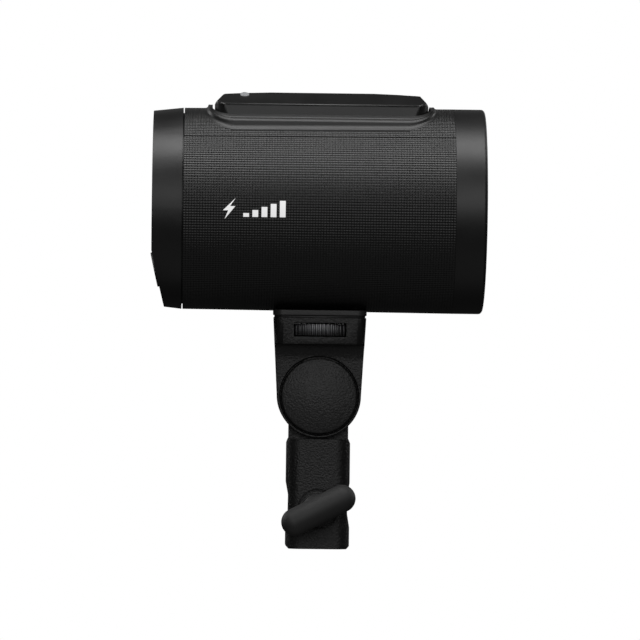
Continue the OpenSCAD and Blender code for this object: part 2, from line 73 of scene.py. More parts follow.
shell_low, shell_high = box_mm("main_shell")
ring_low, ring_high = box_mm("front_ring")
cap_low, cap_high = box_mm("rear_cap")
axis_z = (ring_low.z + ring_high.z) / 2
front_radius = (ring_high.z - ring_low.z) / 2
rear_radius = (cap_high.z - cap_low.z) / 2
print(f"head axis at {axis_z:.1f} mm, radius {rear_radius:.2f} to {front_radius:.2f} mm")


# %% [markdown]
# ## The camera, the lights and the floor
#
# A dark satin cylinder shows its lights as bands along its length. Here one wide softbox hangs almost
# straight overhead and gives the broad bright band high on the casing. A weaker one near the camera
# lifts the faces that look at us. Faint ones below, on the far side and behind both ends keep the
# other views from going black, and they hardly reach the side that the camera sees.
# The camera is far away with a long lens, so the cylinder's ends stay nearly flat.
#
# The floor and the wide shell round the scene are only there to be seen. They are kept out of
# reflections and bounced light, or they would draw a pale line round every dark edge.

# %% Camera
camera_distance = 2.1
seen_width = 0.2573
camera_yaw = math.radians(-1.1)
camera_roll = math.radians(0.7)
camera_aim = Vector((0.0002, 0, 0.0916))
sensor_width = 36

camera_data = bpy.data.cameras.new("camera")
camera_data.sensor_width = sensor_width
camera_data.lens = sensor_width * camera_distance / seen_width
camera = bpy.data.objects.new("camera", camera_data)
bpy.context.scene.collection.objects.link(camera)
facing = Matrix.Rotation(camera_yaw, 4, "Z") @ Matrix.Rotation(math.radians(90), 4, "X")
camera.matrix_world = (
    Matrix.Translation(camera_aim)
    @ facing
    @ Matrix.Rotation(camera_roll, 4, "Z")
    @ Matrix.Translation((0, 0, camera_distance))
)
bpy.context.scene.camera = camera
print(f"camera {camera_distance} m away with a {camera_data.lens:.0f} mm lens")

# %% Colour and light helpers
def linear(code):
    """An sRGB hex colour as linear red, green, blue and alpha."""
    parts = [int(code[i : i + 2], 16) / 255 for i in (1, 3, 5)]
    return [c / 12.92 if c <= 0.04045 else ((c + 0.055) / 1.055) ** 2.4 for c in parts] + [1]


def softbox(name, place, target, size, power):
    """A rectangular soft light at a place, turned to face a target."""
    data = bpy.data.lights.new(name, "AREA")
    data.shape = "RECTANGLE"
    data.size, data.size_y = size
    data.energy = power
    light = bpy.data.objects.new(name, data)
    light.location = place
    light.rotation_euler = (Vector(target) - Vector(place)).to_track_quat("-Z", "Y").to_euler()
    bpy.context.scene.collection.objects.link(light)


# %% Lights
head_middle = (0, 0, axis_z * MM)
softbox("overhead_softbox", (0, -0.27, 1.25), head_middle, (1.5, 0.6), 13)
softbox("front_softbox", (0, -1.5, 0.52), head_middle, (1.6, 0.85), 5.4)
softbox("floor_bounce", (0, -0.5, -0.9), head_middle, (1.6, 1.2), 0.7)
softbox("far_side_softbox", (0, 1.5, 0.6), head_middle, (1.6, 0.6), 0.6)
softbox("front_end_softbox", (1.5, 1.1, 0.8), head_middle, (0.8, 0.8), 4)
softbox("rear_end_softbox", (-1.5, 1.1, 0.8), head_middle, (0.8, 0.8), 5)

world = bpy.data.worlds.new("studio")
world.use_nodes = True
surroundings = world.node_tree.nodes["Background"]
surroundings.inputs["Color"].default_value = linear("#ffffff")
surroundings.inputs["Strength"].default_value = 0.022
bpy.context.scene.world = world
bpy.context.scene.view_settings.view_transform = "Standard"


# %% [markdown]
# ## Building materials from nodes
#
# Every finish starts from the one shader that Blender calls Principled. A small function adds a node,
# sets its values and joins its inputs, so each material below reads as a short recipe: what the stuff
# is, how coarse its surface is in real millimetres, and how shiny it is.

# %% Node helper
def add(material, kind, inputs=None, **settings):
    """One node with its settings; an input is a value or another node's output."""
    node = material.node_tree.nodes.new(kind)
    for name, value in settings.items():
        setattr(node, name, value)
    for name, value in (inputs or {}).items():
        if isinstance(value, bpy.types.NodeSocket):
            material.node_tree.links.new(value, node.inputs[name])
        else:
            node.inputs[name].default_value = value
    return node


def start(name):
    """A new material with its shader node ready."""
    material = bpy.data.materials.new(name)
    material.use_nodes = True
    return material, material.node_tree.nodes["Principled BSDF"]


def join(material, output, socket):
    """Links a node's output to a socket."""
    material.node_tree.links.new(output, socket)


def noise(material, place, size_mm, detail=3.0, roughness=0.5):
    """Soft random patches about size_mm across, as a 0 to 1 value."""
    node = add(material, "ShaderNodeTexNoise", {"Vector": place, "Scale": 1 / (size_mm * MM),
               "Detail": detail, "Roughness": roughness})
    return node.outputs["Fac"]


def spread(material, value, low, high, start_at=0.3, end_at=0.7):
    """A 0 to 1 value stretched to run from low to high."""
    node = add(material, "ShaderNodeMapRange", {"Value": value, "From Min": start_at,
               "From Max": end_at, "To Min": low, "To Max": high})
    return node.outputs["Result"]


# %% [markdown]
# ## Moulded plastic
#
# The casings are injection moulded ABS. A mould that was polished gives a satin skin; a mould that was
# eroded with sparks gives a fine pebbled grain that scatters light. The two differ only in how deep
# and how wide the grain is, so one recipe makes both. Real spark grain is 0.1 to 0.2 mm wide, which
# is too fine to show at this distance, so it is drawn some four times as coarse. Large faint patches
# stand for handling: skin oil makes plastic slightly shinier where hands hold it.

# %% Plastic recipe
def moulded_plastic(name, colour, rough, grain_mm, grain_depth_mm):
    """ABS from a textured mould: grain_mm wide pits, grain_depth_mm deep."""
    material, shader = start(name)
    place = add(material, "ShaderNodeTexCoord").outputs["Object"]
    grain = noise(material, place, grain_mm, 2, 0.6)
    handled = noise(material, place, 24, 4, 0.55)
    tint = add(material, "ShaderNodeMix", {"Factor": spread(material, grain, 0, 1),
               "A": linear(colour[0]), "B": linear(colour[1])}, data_type="RGBA")
    join(material, tint.outputs["Result"], shader.inputs["Base Color"])
    join(material, spread(material, handled, rough - 0.05, rough + 0.05), shader.inputs["Roughness"])
    bump = add(material, "ShaderNodeBump", {"Height": grain, "Distance": grain_depth_mm * MM,
               "Strength": 1.0})
    join(material, bump.outputs["Normal"], shader.inputs["Normal"])
    shader.inputs["IOR"].default_value = 1.54
    return material


# %% The black plastics
satin_abs = moulded_plastic("satin_moulded_ABS", ("#161616", "#1b1b1b"), 0.42, 0.5, 0.004)
grid_abs = moulded_plastic("grid_textured_ABS", ("#141414", "#1a1a1a"), 0.36, 0.4, 0.002)
battery_abs = moulded_plastic("battery_case_ABS", ("#161616", "#1b1b1b"), 0.36, 0.4, 0.003)
spark_abs = moulded_plastic("spark_eroded_glass_filled_nylon", ("#0c0c0c", "#181818"), 0.42, 0.75, 0.3)
fine_grain_abs = moulded_plastic("fine_grained_ABS_disc", ("#1c1c1c", "#2c2c2c"), 0.42, 0.75, 0.3)
key_abs = moulded_plastic("satin_ABS_keys", ("#242424", "#2a2a2a"), 0.42, 0.3, 0.002)
soft_touch = moulded_plastic("soft_touch_elastomer", ("#303030", "#303030"), 0.6, 0.45, 0.006)
pad_rubber = moulded_plastic("silicone_rubber_pad", ("#2c2c2c", "#343434"), 0.45, 0.6, 0.1)
grey_key = moulded_plastic("grey_translucent_light_guide", ("#9b9d9f", "#a6a8aa"), 0.35, 0.4, 0.002)


# %% [markdown]
# ## Metals
#
# Turned and ground metal has fine lines left by the tool, so its noise is stretched: a mapping node
# squeezes the pattern along one axis. Metals take their whole look from reflection, so their base
# colour is bright and their metallic value is one.

# %% Metal recipe
def tooled_metal(name, colour, rough, line_mm, stretch=(1, 1, 12)):
    """Metal with tool lines line_mm apart, squeezed together along the axis with the most stretch."""
    line_depth = 0.01 * MM
    material, shader = start(name)
    place = add(material, "ShaderNodeTexCoord").outputs["Object"]
    drawn = add(material, "ShaderNodeMapping", {"Vector": place, "Scale": stretch}).outputs["Vector"]
    lines = noise(material, drawn, line_mm, 3, 0.6)
    marks = noise(material, place, 6, 3, 0.5)
    tint = add(material, "ShaderNodeMix", {"Factor": spread(material, marks, 0, 1),
               "A": linear(colour[0]), "B": linear(colour[1])}, data_type="RGBA")
    join(material, tint.outputs["Result"], shader.inputs["Base Color"])
    join(material, spread(material, lines, rough - 0.08, rough + 0.1), shader.inputs["Roughness"])
    bump = add(material, "ShaderNodeBump", {"Height": lines, "Distance": line_depth, "Strength": 1.0})
    join(material, bump.outputs["Normal"], shader.inputs["Normal"])
    shader.inputs["Metallic"].default_value = 1.0
    return material


# %% The metals
turned_steel = tooled_metal("turned_zinc_plated_steel", ("#8d8f92", "#9a9c9f"), 0.34, 1.2)
spring_steel = tooled_metal("drawn_spring_steel", ("#a3a5a8", "#b4b6b9"), 0.3, 0.8)
nickel = tooled_metal("nickel_plated_magnet", ("#b9bbbd", "#c9cbcd"), 0.26, 1.5)
black_wheel = tooled_metal("black_anodised_aluminium", ("#6e6e70", "#7c7c7e"), 0.36, 0.8, (1, 1, 6))
brass = tooled_metal("turned_brass", ("#b08d4b", "#c2a05c"), 0.3, 1.0)
copper = tooled_metal("enamelled_copper_winding", ("#8a4a22", "#a8602f"), 0.36, 0.7, (14, 1, 1))
reflector_metal = tooled_metal("spun_bright_aluminium", ("#d7d9db", "#e6e8ea"), 0.16, 1.6, (14, 1, 1))
cast_fins = tooled_metal("extruded_aluminium_fins", ("#a8abae", "#b8bbbe"), 0.38, 1.2, (1, 6, 6))


# %% [markdown]
# ## Glass
#
# The front plate is pressed glass that is frosted on its inner face. It has to look pale and milky
# while still letting the shapes behind it show as soft blurs, so it transmits light with a high
# roughness. The flash tube is clear glass. The display cover is black glass with a slightly greyer
# field where the screen lies behind it, drawn by comparing the position with the screen's own box.

# %% Glass recipes
def clear_glass(name, colour, rough, pattern_mm, depth_mm):
    """Glass whose surface carries a cell pattern pattern_mm across."""
    material, shader = start(name)
    place = add(material, "ShaderNodeTexCoord").outputs["Object"]
    cells = add(material, "ShaderNodeTexVoronoi", {"Vector": place, "Scale": 1 / (pattern_mm * MM)})
    bump = add(material, "ShaderNodeBump", {"Height": cells.outputs["Distance"],
               "Distance": depth_mm * MM, "Strength": 1.0})
    join(material, bump.outputs["Normal"], shader.inputs["Normal"])
    haze = noise(material, place, 9, 3, 0.5)
    hazed = spread(material, haze, max(rough - 0.03, 0.02), rough + 0.03)
    join(material, hazed, shader.inputs["Roughness"])
    shader.inputs["Base Color"].default_value = linear(colour)
    shader.inputs["Transmission Weight"].default_value = 1.0
    shader.inputs["IOR"].default_value = 1.5
    return material


frosted_glass = clear_glass("frosted_pressed_glass", "#eef0f0", 0.42, 1.6, 0.12)
tube_glass = clear_glass("clear_quartz_tube", "#f4f6f8", 0.04, 3.0, 0.01)


def inside_box(material, place, low, high):
    """One inside a box on the Y and Z axes and zero outside it, with edges 0.3 mm soft."""
    axes = add(material, "ShaderNodeSeparateXYZ", {"Vector": place})
    soft_edge = 0.3 * MM
    masks = []
    for axis, start_at, end_at in (("Y", low[1], high[1]), ("Z", low[2], high[2])):
        middle, half = (start_at + end_at) / 2, (end_at - start_at) / 2
        off = add(material, "ShaderNodeMath", {0: axes.outputs[axis], 1: middle}, operation="SUBTRACT")
        size = add(material, "ShaderNodeMath", {0: off.outputs[0]}, operation="ABSOLUTE")
        masks.append(spread(material, size.outputs[0], 1.0, 0.0, half, half + soft_edge))
    both = add(material, "ShaderNodeMath", {0: masks[0], 1: masks[1]}, operation="MULTIPLY")
    return both.outputs[0]


def display_glass():
    """Black cover glass: printed black border, charcoal screen field."""
    material, shader = start("black_display_glass")
    place = add(material, "ShaderNodeTexCoord").outputs["Object"]
    field = inside_box(material, place, *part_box("display_panel"))
    tint = add(material, "ShaderNodeMix", {"Factor": field, "A": linear("#08090a"),
               "B": linear("#15181b")}, data_type="RGBA")
    join(material, tint.outputs["Result"], shader.inputs["Base Color"])
    smear = noise(material, place, 14, 4, 0.6)
    join(material, spread(material, smear, 0.06, 0.16), shader.inputs["Roughness"])
    bump = add(material, "ShaderNodeBump", {"Height": smear, "Distance": 0.003 * MM,
               "Strength": 1.0})
    join(material, bump.outputs["Normal"], shader.inputs["Normal"])
    shader.inputs["IOR"].default_value = 1.5
    return material


black_glass = display_glass()


# %% [markdown]
# ## What is inside
#
# The working parts show only when someone takes the head apart, but each still has its own stuff:
# green board with copper tracks under its varnish, printed sleeves on capacitors and cells, glazed
# ceramic, and the yellow phosphor of the modelling light.

# %% Inner materials
def circuit_board(name):
    """Green varnish over copper tracks about 1.5 mm apart, which a brick pattern draws."""
    material, shader = start(name)
    place = add(material, "ShaderNodeTexCoord").outputs["Object"]
    tracks = add(material, "ShaderNodeTexBrick", {"Vector": place, "Color1": linear("#1f5a3a"),
                 "Color2": linear("#26694a"), "Mortar": linear("#3c8a5c"), "Scale": 1 / MM,
                 "Mortar Size": 0.12, "Brick Width": 6.0, "Row Height": 1.5})
    join(material, tracks.outputs["Color"], shader.inputs["Base Color"])
    bump = add(material, "ShaderNodeBump", {"Height": tracks.outputs["Fac"], "Distance": 0.03 * MM})
    join(material, bump.outputs["Normal"], shader.inputs["Normal"])
    varnish = noise(material, place, 5)
    join(material, spread(material, varnish, 0.25, 0.4), shader.inputs["Roughness"])
    return material


board = circuit_board("solder_masked_glass_epoxy")
black_nylon = moulded_plastic("plain_black_nylon", ("#1a1b1d", "#202123"), 0.5, 0.5, 0.006)
sleeve = moulded_plastic("shrink_sleeve_PVC", ("#1b2234", "#222b40"), 0.3, 1.2, 0.006)
cell_wrap = moulded_plastic("printed_cell_wrap_PVC", ("#27496e", "#2f5680"), 0.32, 1.2, 0.006)
ceramic = moulded_plastic("glazed_steatite_ceramic", ("#d8d3c4", "#e2ddd0"), 0.3, 0.8, 0.01)
phosphor = moulded_plastic("yellow_phosphor_silicone", ("#d9c765", "#e5d47a"), 0.45, 0.5, 0.02)

# %% Finishes of the parts that keep their shape
plain_finishes = {
    turned_steel: ["clamp_screw", "tilt_axle", "plate_screws", "bay_screws", "head_stud", "usb_socket"],
    spring_steel: ["release_spring"],
    nickel: ["magnets"],
    black_wheel: ["thumbwheel"],
    brass: ["clamp_shoe", "friction_washers", "lock_nut", "thread_insert", "bay_contacts",
            "battery_pads"],
    copper: ["trigger_coil", "charge_transformer"],
    reflector_metal: ["reflector"],
    cast_fins: ["led_heatsink"],
    frosted_glass: ["front_glass"],
    tube_glass: ["flash_tube"],
    black_glass: ["display_window"],
    board: ["main_board", "radio_board", "battery_board", "control_board"],
    black_nylon: ["chassis", "capacitor_bracket", "dial_encoder", "key_switches", "switch_module",
                  "board_components", "display_panel"],
    sleeve: ["flash_capacitors"],
    cell_wrap: ["battery_cells"],
    ceramic: ["tube_holders"],
    phosphor: ["led_module"],
    pad_rubber: ["glass_gasket"],
    satin_abs: ["main_shell", "top_cover", "rear_cap", "front_ring", "bay_tub"],
    battery_abs: ["battery_case", "battery_cover"],
    spark_abs: ["socket_body", "fork_bracket", "lock_plate", "clamp_bush"],
    fine_grain_abs: ["axle_cap"],
    soft_touch: ["clamp_grip", "lock_grip", "dial_ring", "saddle_plate", "release_slider"],
    key_abs: ["select_button", "power_button", "test_button"],
    grey_key: ["charge_button"],
}
for material, nodes in plain_finishes.items():
    for name in nodes:
        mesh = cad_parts[name].data
        mesh.materials.clear()
        mesh.materials.append(material)
print("parts with a finish:", sum(len(nodes) for nodes in plain_finishes.values()))


# %% [markdown]
# ## Turning a mesh into a piece
#
# A finished mesh is scaled to metres, gets smooth shading that stays crisp at true edges, and rides
# on the body it belongs to. A weighted normal modifier keeps flat faces flat next to rounded edges.

# %% Finishing helper
def made_object(name, bm, material):
    """An object from a bmesh, with one material."""
    mesh = bpy.data.meshes.new(name)
    bm.to_mesh(mesh)
    bm.free()
    mesh.materials.append(material)
    piece = bpy.data.objects.new(name, mesh)
    bpy.context.scene.collection.objects.link(piece)
    return piece


def finished(name, bm, body, slot, material, stands_for=(), crease=40):
    """A piece from a bmesh in millimetres, crisp at edges sharper than the crease angle."""
    bmesh.ops.scale(bm, vec=(MM, MM, MM), verts=bm.verts)
    piece = made_object(name, bm, material)
    piece.data.shade_smooth()
    piece.data.set_sharp_from_angle(angle=math.radians(crease))
    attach(piece, body)
    if stands_for:
        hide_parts(*stands_for)
    print(f"{name}: {len(piece.data.polygons)} faces")
    return piece


# %% [markdown]
# ## Rounded edges
#
# No moulded part has a knife edge: the mould cutter leaves a radius, and that radius is what shines.
# The plain solids have sharp edges, so each one that shows is copied, its loose triangles are merged
# back into faces, and its sharp edges are bevelled with a few segments. The radius is the real one:
# from 0.15 mm on the release slider to 0.8 mm on the socket.
#
# Three parts have features smaller than the bevel would like, such as a screw hole next to an edge.
# There the bevel may run on past them, so only chosen edges are rounded. A cut through such a part's
# middle first opens every face with a hole in it, because a bevel can turn such a face over.

# %% Rounding helper
sharp_edge = math.radians(30)
axle_middle = sum(box_mm("tilt_axle"), Vector()) / 2


def rounded_copy(node, radius, is_rounded=None, from_angle=sharp_edge):
    """A bmesh in millimetres of a part, with its sharp edges rounded, or only some of them."""
    bm = bmesh.new()
    bm.from_mesh(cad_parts[node].data)
    bmesh.ops.scale(bm, vec=(1 / MM, 1 / MM, 1 / MM), verts=bm.verts)
    bmesh.ops.remove_doubles(bm, verts=bm.verts, dist=0.002)
    bmesh.ops.dissolve_limit(bm, angle_limit=math.radians(0.8), verts=bm.verts, edges=bm.edges)
    if is_rounded:
        middle = axle_middle if node == "fork_bracket" else sum(box_mm(node), Vector()) / 2
        for across in ((1, 0, 0), (0, 0, 1)):
            bmesh.ops.bisect_plane(bm, geom=[*bm.verts, *bm.edges, *bm.faces], dist=0.0001,
                                   plane_co=middle, plane_no=across)
    edges = [e for e in bm.edges if e.is_manifold and e.calc_face_angle() > from_angle]
    if is_rounded:
        edges = [e for e in edges if is_rounded((e.verts[0].co + e.verts[1].co) / 2)]
    bmesh.ops.bevel(bm, geom=edges, offset=radius, offset_type="OFFSET", affect="EDGES",
                    segments=3, profile=0.5, material=-1, clamp_overlap=not is_rounded)
    return bm


# %% Which edges of the bracket, the saddle and the battery are rounded
wheel_low, wheel_high = box_mm("thumbwheel")
slope_low, slope_high = wheel_low.z - 11, wheel_low.z - 2
pocket_half = 16
groove_radius = box_mm("axle_cap")[1].x + 0.7


def outside_pocket(point):
    """The window, the pocket behind it and the hollow slope under the box stay as cut."""
    in_pocket = wheel_low.z - 1 < point.z < wheel_high.z + 2 and abs(point.x) < pocket_half
    on_slope = slope_low < point.z < slope_high
    from_axle = math.hypot(point.x, point.z - axle_middle.z)
    in_cap_groove = abs(from_axle - groove_radius) < 0.1
    return in_cap_groove or not in_pocket and not on_slope


button_middle = sum(box_mm("charge_button"), Vector()) / 2
button_reach = 3.2
slider_low, slider_high = box_mm("release_slider")
slider_travel = 4
cover_seam = box_mm("battery_cover")[0].z + 0.5
cover_edge = math.radians(22)


def battery_crest(point):
    """The battery's outer edges above its seam, clear of the button and the release slider."""
    near_button = (point - button_middle).length < button_reach
    near_slider = point.x > slider_low.x - slider_travel and abs(point.y) < slider_high.y + 1
    return point.z > cover_seam and not near_button and not near_slider


chosen_edges = {
    "fork_bracket": (outside_pocket, sharp_edge),
    "saddle_plate": (outside_pocket, sharp_edge),
    "battery_cover": (battery_crest, cover_edge),
}

# %% Rounded parts
# Each part: its body, its slot, its material and its edge radius in mm
rounded_parts = {
    "front_ring": ("head", "satin_shell", satin_abs, 0.2),
    "rear_cap": ("head", "satin_shell", satin_abs, 0.3),
    "bay_tub": ("head", "satin_shell", satin_abs, 0.25),
    "display_window": ("head", "display_glass", black_glass, 0.25),
    "battery_case": ("battery", "battery_shell", battery_abs, 0.3),
    "battery_cover": ("battery", "battery_shell", battery_abs, 0.7),
    "release_slider": ("battery_release", "soft_grip", soft_touch, 0.15),
    "dial_ring": ("dial", "soft_grip", soft_touch, 0.25),
    "select_button": ("select_key", "button_plastic", key_abs, 0.25),
    "power_button": ("power_key", "button_plastic", key_abs, 0.3),
    "test_button": ("test_key", "button_plastic", key_abs, 0.3),
    "charge_button": ("charge_key", "light_guide", grey_key, 0.2),
    "fork_bracket": ("head", "moulded_abs", spark_abs, 0.35),
    "saddle_plate": ("head", "soft_grip", pad_rubber, 0.3),
    "lock_plate": ("head", "moulded_abs", spark_abs, 0.4),
    "socket_body": ("stand_socket", "moulded_abs", spark_abs, 0.8),
    "clamp_bush": ("stand_socket", "steel", spark_abs, 0.4),
}
for node, (body, slot, material, radius) in rounded_parts.items():
    shape = rounded_copy(node, radius, *chosen_edges.get(node, ()))
    piece = finished(node + "_moulded", shape, body, slot, material, [node])
    piece.modifiers.new("flat_faces", "WEIGHTED_NORMAL").keep_sharp = True


# %% [markdown]
# ## The grid on the casing
#
# The casing's skin is a relief of small square pads, about 1.1 mm apart, cut into the mould. A bump
# map would fake it, but the pads are what the light plays on, so they are real. A flat grid is the
# simple way to get there: each cell is inset and raised while the sheet is flat, the sheet is given
# its wall, and then the whole is bent round the head's axis. It comes in three pieces, because the
# top cover is a separate moulding and the long wrap is lighter to build as two halves.

# %% Thickening helper
def thicken(bm, rise):
    """Extrudes every face, moves the copy up, and gives back the faces on top."""
    made = bmesh.ops.extrude_face_region(bm, geom=list(bm.faces), use_keep_orig=True)["geom"]
    raised = [part for part in made if isinstance(part, bmesh.types.BMVert)]
    bmesh.ops.translate(bm, vec=(0, 0, rise), verts=raised)
    return [part for part in made if isinstance(part, bmesh.types.BMFace)]


# %% Relief sheet
pad_pitch = 1.09
groove_half = 0.12
pad_height = 0.08
wall = 2.4
middle_radius = (rear_radius + front_radius) / 2


def skin_radius(x):
    """Radius of the casing at a place along its length: it widens a little towards the front."""
    share = (x - shell_low.x) / (shell_high.x - shell_low.x)
    return rear_radius + (front_radius - rear_radius) * share


def bent(point):
    """A point of the flat sheet, wrapped round the head's axis. Its y is an arc length."""
    angle = point.y / middle_radius
    radius = skin_radius(point.x) + point.z
    return Vector((point.x, -radius * math.sin(angle), axis_z + radius * math.cos(angle)))


def relief_sheet(from_degrees, to_degrees, is_kept=None):
    """A wall of raised square pads between two angles from straight up, towards -Y."""
    length = shell_high.x - shell_low.x
    arc = [math.radians(a) * middle_radius for a in (from_degrees, to_degrees)]
    columns = round(length / pad_pitch)
    rows = round((arc[1] - arc[0]) / pad_pitch)
    bm = bmesh.new()
    bmesh.ops.create_grid(bm, x_segments=columns, y_segments=rows, size=0.5)
    bmesh.ops.scale(bm, vec=(length, arc[1] - arc[0], 1), verts=bm.verts)
    centre = Vector(((shell_low.x + shell_high.x) / 2, (arc[0] + arc[1]) / 2, -pad_height - wall))
    bmesh.ops.translate(bm, vec=centre, verts=bm.verts)
    if is_kept:
        gone = [f for f in bm.faces if not is_kept(bent(f.calc_center_median()))]
        bmesh.ops.delete(bm, geom=gone, context="FACES")
    bmesh.ops.inset_individual(bm, faces=thicken(bm, wall), thickness=groove_half, depth=pad_height)
    for vert in bm.verts:
        vert.co = bent(vert.co)
    bmesh.ops.recalc_face_normals(bm, faces=bm.faces)
    return bm


# %% [markdown]
# ## The battery's rim
#
# The top cover rises into a rim round the battery. Its outer wall is steep, its foot flows into the
# grid with a small fillet, and its crest has a fine groove beside an inner bead. All of these follow
# the same rounded rectangle at different widths, so the rim is a stack of closed loops bridged one to
# the next. A loop is a circle whose four quarters are pushed apart.

# %% Rounded loops
def rounded_loop(bm, half_length, half_width, radius, height, quarter=14):
    """A closed loop of edges: a circle with its quarters moved out to a rectangle's corners."""
    made = bmesh.ops.create_circle(bm, segments=4 * quarter, radius=radius,
                                   matrix=Matrix.Rotation(math.pi / (4 * quarter), 4, "Z"))["verts"]
    for vert in made:
        vert.co.x += math.copysign(half_length - radius, vert.co.x)
        vert.co.y += math.copysign(half_width - radius, vert.co.y)
    straight = [e for e in {e for v in made for e in v.link_edges} if e.calc_length() > 5]
    bmesh.ops.subdivide_edges(bm, edges=straight, cuts=15)
    loop = [v for v in bm.verts if v.co.z == 0]
    for vert in loop:
        vert.co.z = height(vert.co)
    return list({e for v in loop for e in v.link_edges})


def loft(bm, loops):
    """Faces between each loop and the next."""
    for lower, upper in zip(loops, loops[1:]):
        bmesh.ops.bridge_loops(bm, edges=lower + upper)


battery_low, battery_high = box_mm("battery_case")
bay_middle = (battery_low.x + battery_high.x) / 2
bay_play = 0.8
bay_half_length = (battery_high.x - battery_low.x) / 2 + bay_play
bay_half_width = (battery_high.y - battery_low.y) / 2 + bay_play
bay_corner = 8.0
rim_side, rim_end = 5.1, 1.9
crest_arc_radius, crest_arc_drop = 45.7, 3.9


def crest_height(y):
    """Height of the rim's crest, which is arched across the head."""
    return axis_z + math.sqrt(crest_arc_radius**2 - y**2) - crest_arc_drop


def casing_height(x, y):
    """Height of the casing's skin at a place seen from above."""
    return axis_z + math.sqrt(skin_radius(x) ** 2 - y**2)


def rim_loop(bm, side, end, share, lift):
    """One loop of the rim: share runs from the casing's height, 0, to the crest's, 1."""
    def height(point):
        low = casing_height(point.x + bay_middle, point.y)
        at_side = min(1, abs(point.y) / bay_half_width)
        return low + share * (crest_height(point.y) - low) + lift * at_side

    corner = bay_corner + 0.5 * (side + end)
    return rounded_loop(bm, bay_half_length + end, bay_half_width + side, corner, height)


# Each loop: how far out at the sides and the ends in mm, share of the rim's height, lift at the sides
rim_profile = [
    (1.75, 1.30, -0.50, 0.00),  # the foot, buried in the casing
    (1.75, 1.30, -0.03, 0.00),
    (1.60, 1.20, 0.00, 0.02),
    (1.20, 0.90, 0.03, 0.00),
    (0.80, 0.60, 0.09, 0.00),
    (0.50, 0.38, 0.18, 0.00),
    (0.28, 0.20, 0.30, 0.00),  # the outer wall
    (0.12, 0.09, 0.46, 0.00),
    (0.03, 0.02, 0.66, 0.00),
    (-0.10, -0.06, 0.84, 0.00),
    (-0.35, -0.20, 0.96, 0.00),
    (-1.00, -0.45, 1.00, 0.29),  # the crest
    (-1.40, -0.60, 1.00, 0.22),
    (-3.40, -1.15, 1.00, -0.74),  # the groove
    (-3.55, -1.20, 1.00, -0.50),
    (-3.80, -1.28, 1.00, -0.44),  # the inner bead
    (-4.70, -1.60, 1.00, -0.08),
    (-5.00, -1.75, 1.00, -0.05),
    (-5.10, -1.85, 1.00, -0.50),
    (-5.10, -1.90, -0.50, -1.50),  # down into the bay
]


def battery_rim():
    """The rim's loops joined into one wall, set over the battery's bay."""
    bm = bmesh.new()
    loft(bm, [rim_loop(bm, rim_side + side, rim_end + end, share, lift)
              for side, end, share, lift in rim_profile])
    bmesh.ops.translate(bm, vec=(bay_middle, 0, 0), verts=bm.verts)
    bmesh.ops.recalc_face_normals(bm, faces=bm.faces)
    return bm


finished("battery_bay_rim", battery_rim(), "head", "satin_shell", satin_abs, ["top_cover"], crease=50)


# %% The three relief pieces
seam_angle = 45.6
seam_half_gap = 0.22
clear_end, clear_side = 0.3, 0.6


def outside_rim(point):
    """True where a pad of the top cover lies clear of the rim's foot."""
    out_x = abs(point.x - bay_middle) - (bay_half_length + rim_end + clear_end)
    out_y = abs(point.y) - (bay_half_width + rim_side + clear_side)
    corner = bay_corner + 5.5
    if out_x > -corner and out_y > -corner:
        return math.hypot(out_x + corner, out_y + corner) > corner
    return out_x > 0 or out_y > 0


wrap_edge, cover_edge_angle = seam_angle + seam_half_gap, seam_angle - seam_half_gap
finished("casing_wrap_near", relief_sheet(wrap_edge, 180), "head", "textured_skin",
         grid_abs, ["main_shell"], crease=80)
finished("casing_wrap_far", relief_sheet(-180, -wrap_edge), "head", "textured_skin",
         grid_abs, crease=80)
finished("top_cover_grid", relief_sheet(-cover_edge_angle, cover_edge_angle, outside_rim),
         "head", "textured_skin", grid_abs, crease=80)


# %% [markdown]
# ## Turned shapes
#
# A disc, a washer and a handle's stem are all the same kind of thing: half of their outline, spun
# round an axis. One helper makes them round the Y axis, and they are turned afterwards if need be.

# %% Turned shapes
def turned(bm, outline, steps=96):
    """An outline of (radius, y) points in millimetres, spun round the Y axis."""
    chain = [bm.verts.new((radius, y, 0)) for radius, y in outline]
    line = [bm.edges.new(pair) for pair in zip(chain, chain[1:])]
    bmesh.ops.spin(bm, geom=chain + line, cent=(0, 0, 0), axis=(0, 1, 0), angle=2 * math.pi,
                   steps=steps, use_merge=True)
    bmesh.ops.remove_doubles(bm, verts=bm.verts, dist=0.001)
    bmesh.ops.recalc_face_normals(bm, faces=bm.faces)


def swing(bm, degrees, axis):
    """Turns a whole bmesh about an axis through the origin."""
    turn = Matrix.Rotation(math.radians(degrees), 3, axis)
    bmesh.ops.rotate(bm, cent=(0, 0, 0), matrix=turn, verts=bm.verts)


# %% [markdown]
# ## Bands behind the seams
#
# Where two casings meet there is a fine shadow gap. One part always has a lip that reaches under the
# other, so no light comes through. Each lip is a plain band just inside the skin, spun about the
# head's axis, and it keeps the gap dark and shallow.

# %% Seam bands
def seam_band(at_x, radius):
    """A band 3 mm wide and 1 mm thick under the seam at one end of the casing."""
    bm = bmesh.new()
    inner, start_x, end_x = radius - 1, at_x - 1.5, at_x + 1.5
    turned(bm, [(inner, start_x), (radius, start_x), (radius, end_x), (inner, end_x), (inner, start_x)])
    swing(bm, -90, "Z")
    bmesh.ops.translate(bm, vec=(0, 0, axis_z), verts=bm.verts)
    return bm


for end, at_x, below_skin in (("rear", shell_low.x, 2.1), ("front", shell_high.x, 0.45)):
    finished(f"seam_band_{end}", seam_band(at_x, skin_radius(at_x) - below_skin), "head",
             "satin_shell", satin_abs)


# %% [markdown]
# ## The printed sign
#
# A plain sign is printed in white on the side: a flash bolt and five bars that rise like a power
# scale. Ink has almost no thickness, but it still is a thin layer of its own, so each shape is a flat
# face, cut into narrow strips that can bend, given a twentieth of a millimetre of thickness and
# wrapped onto the casing.

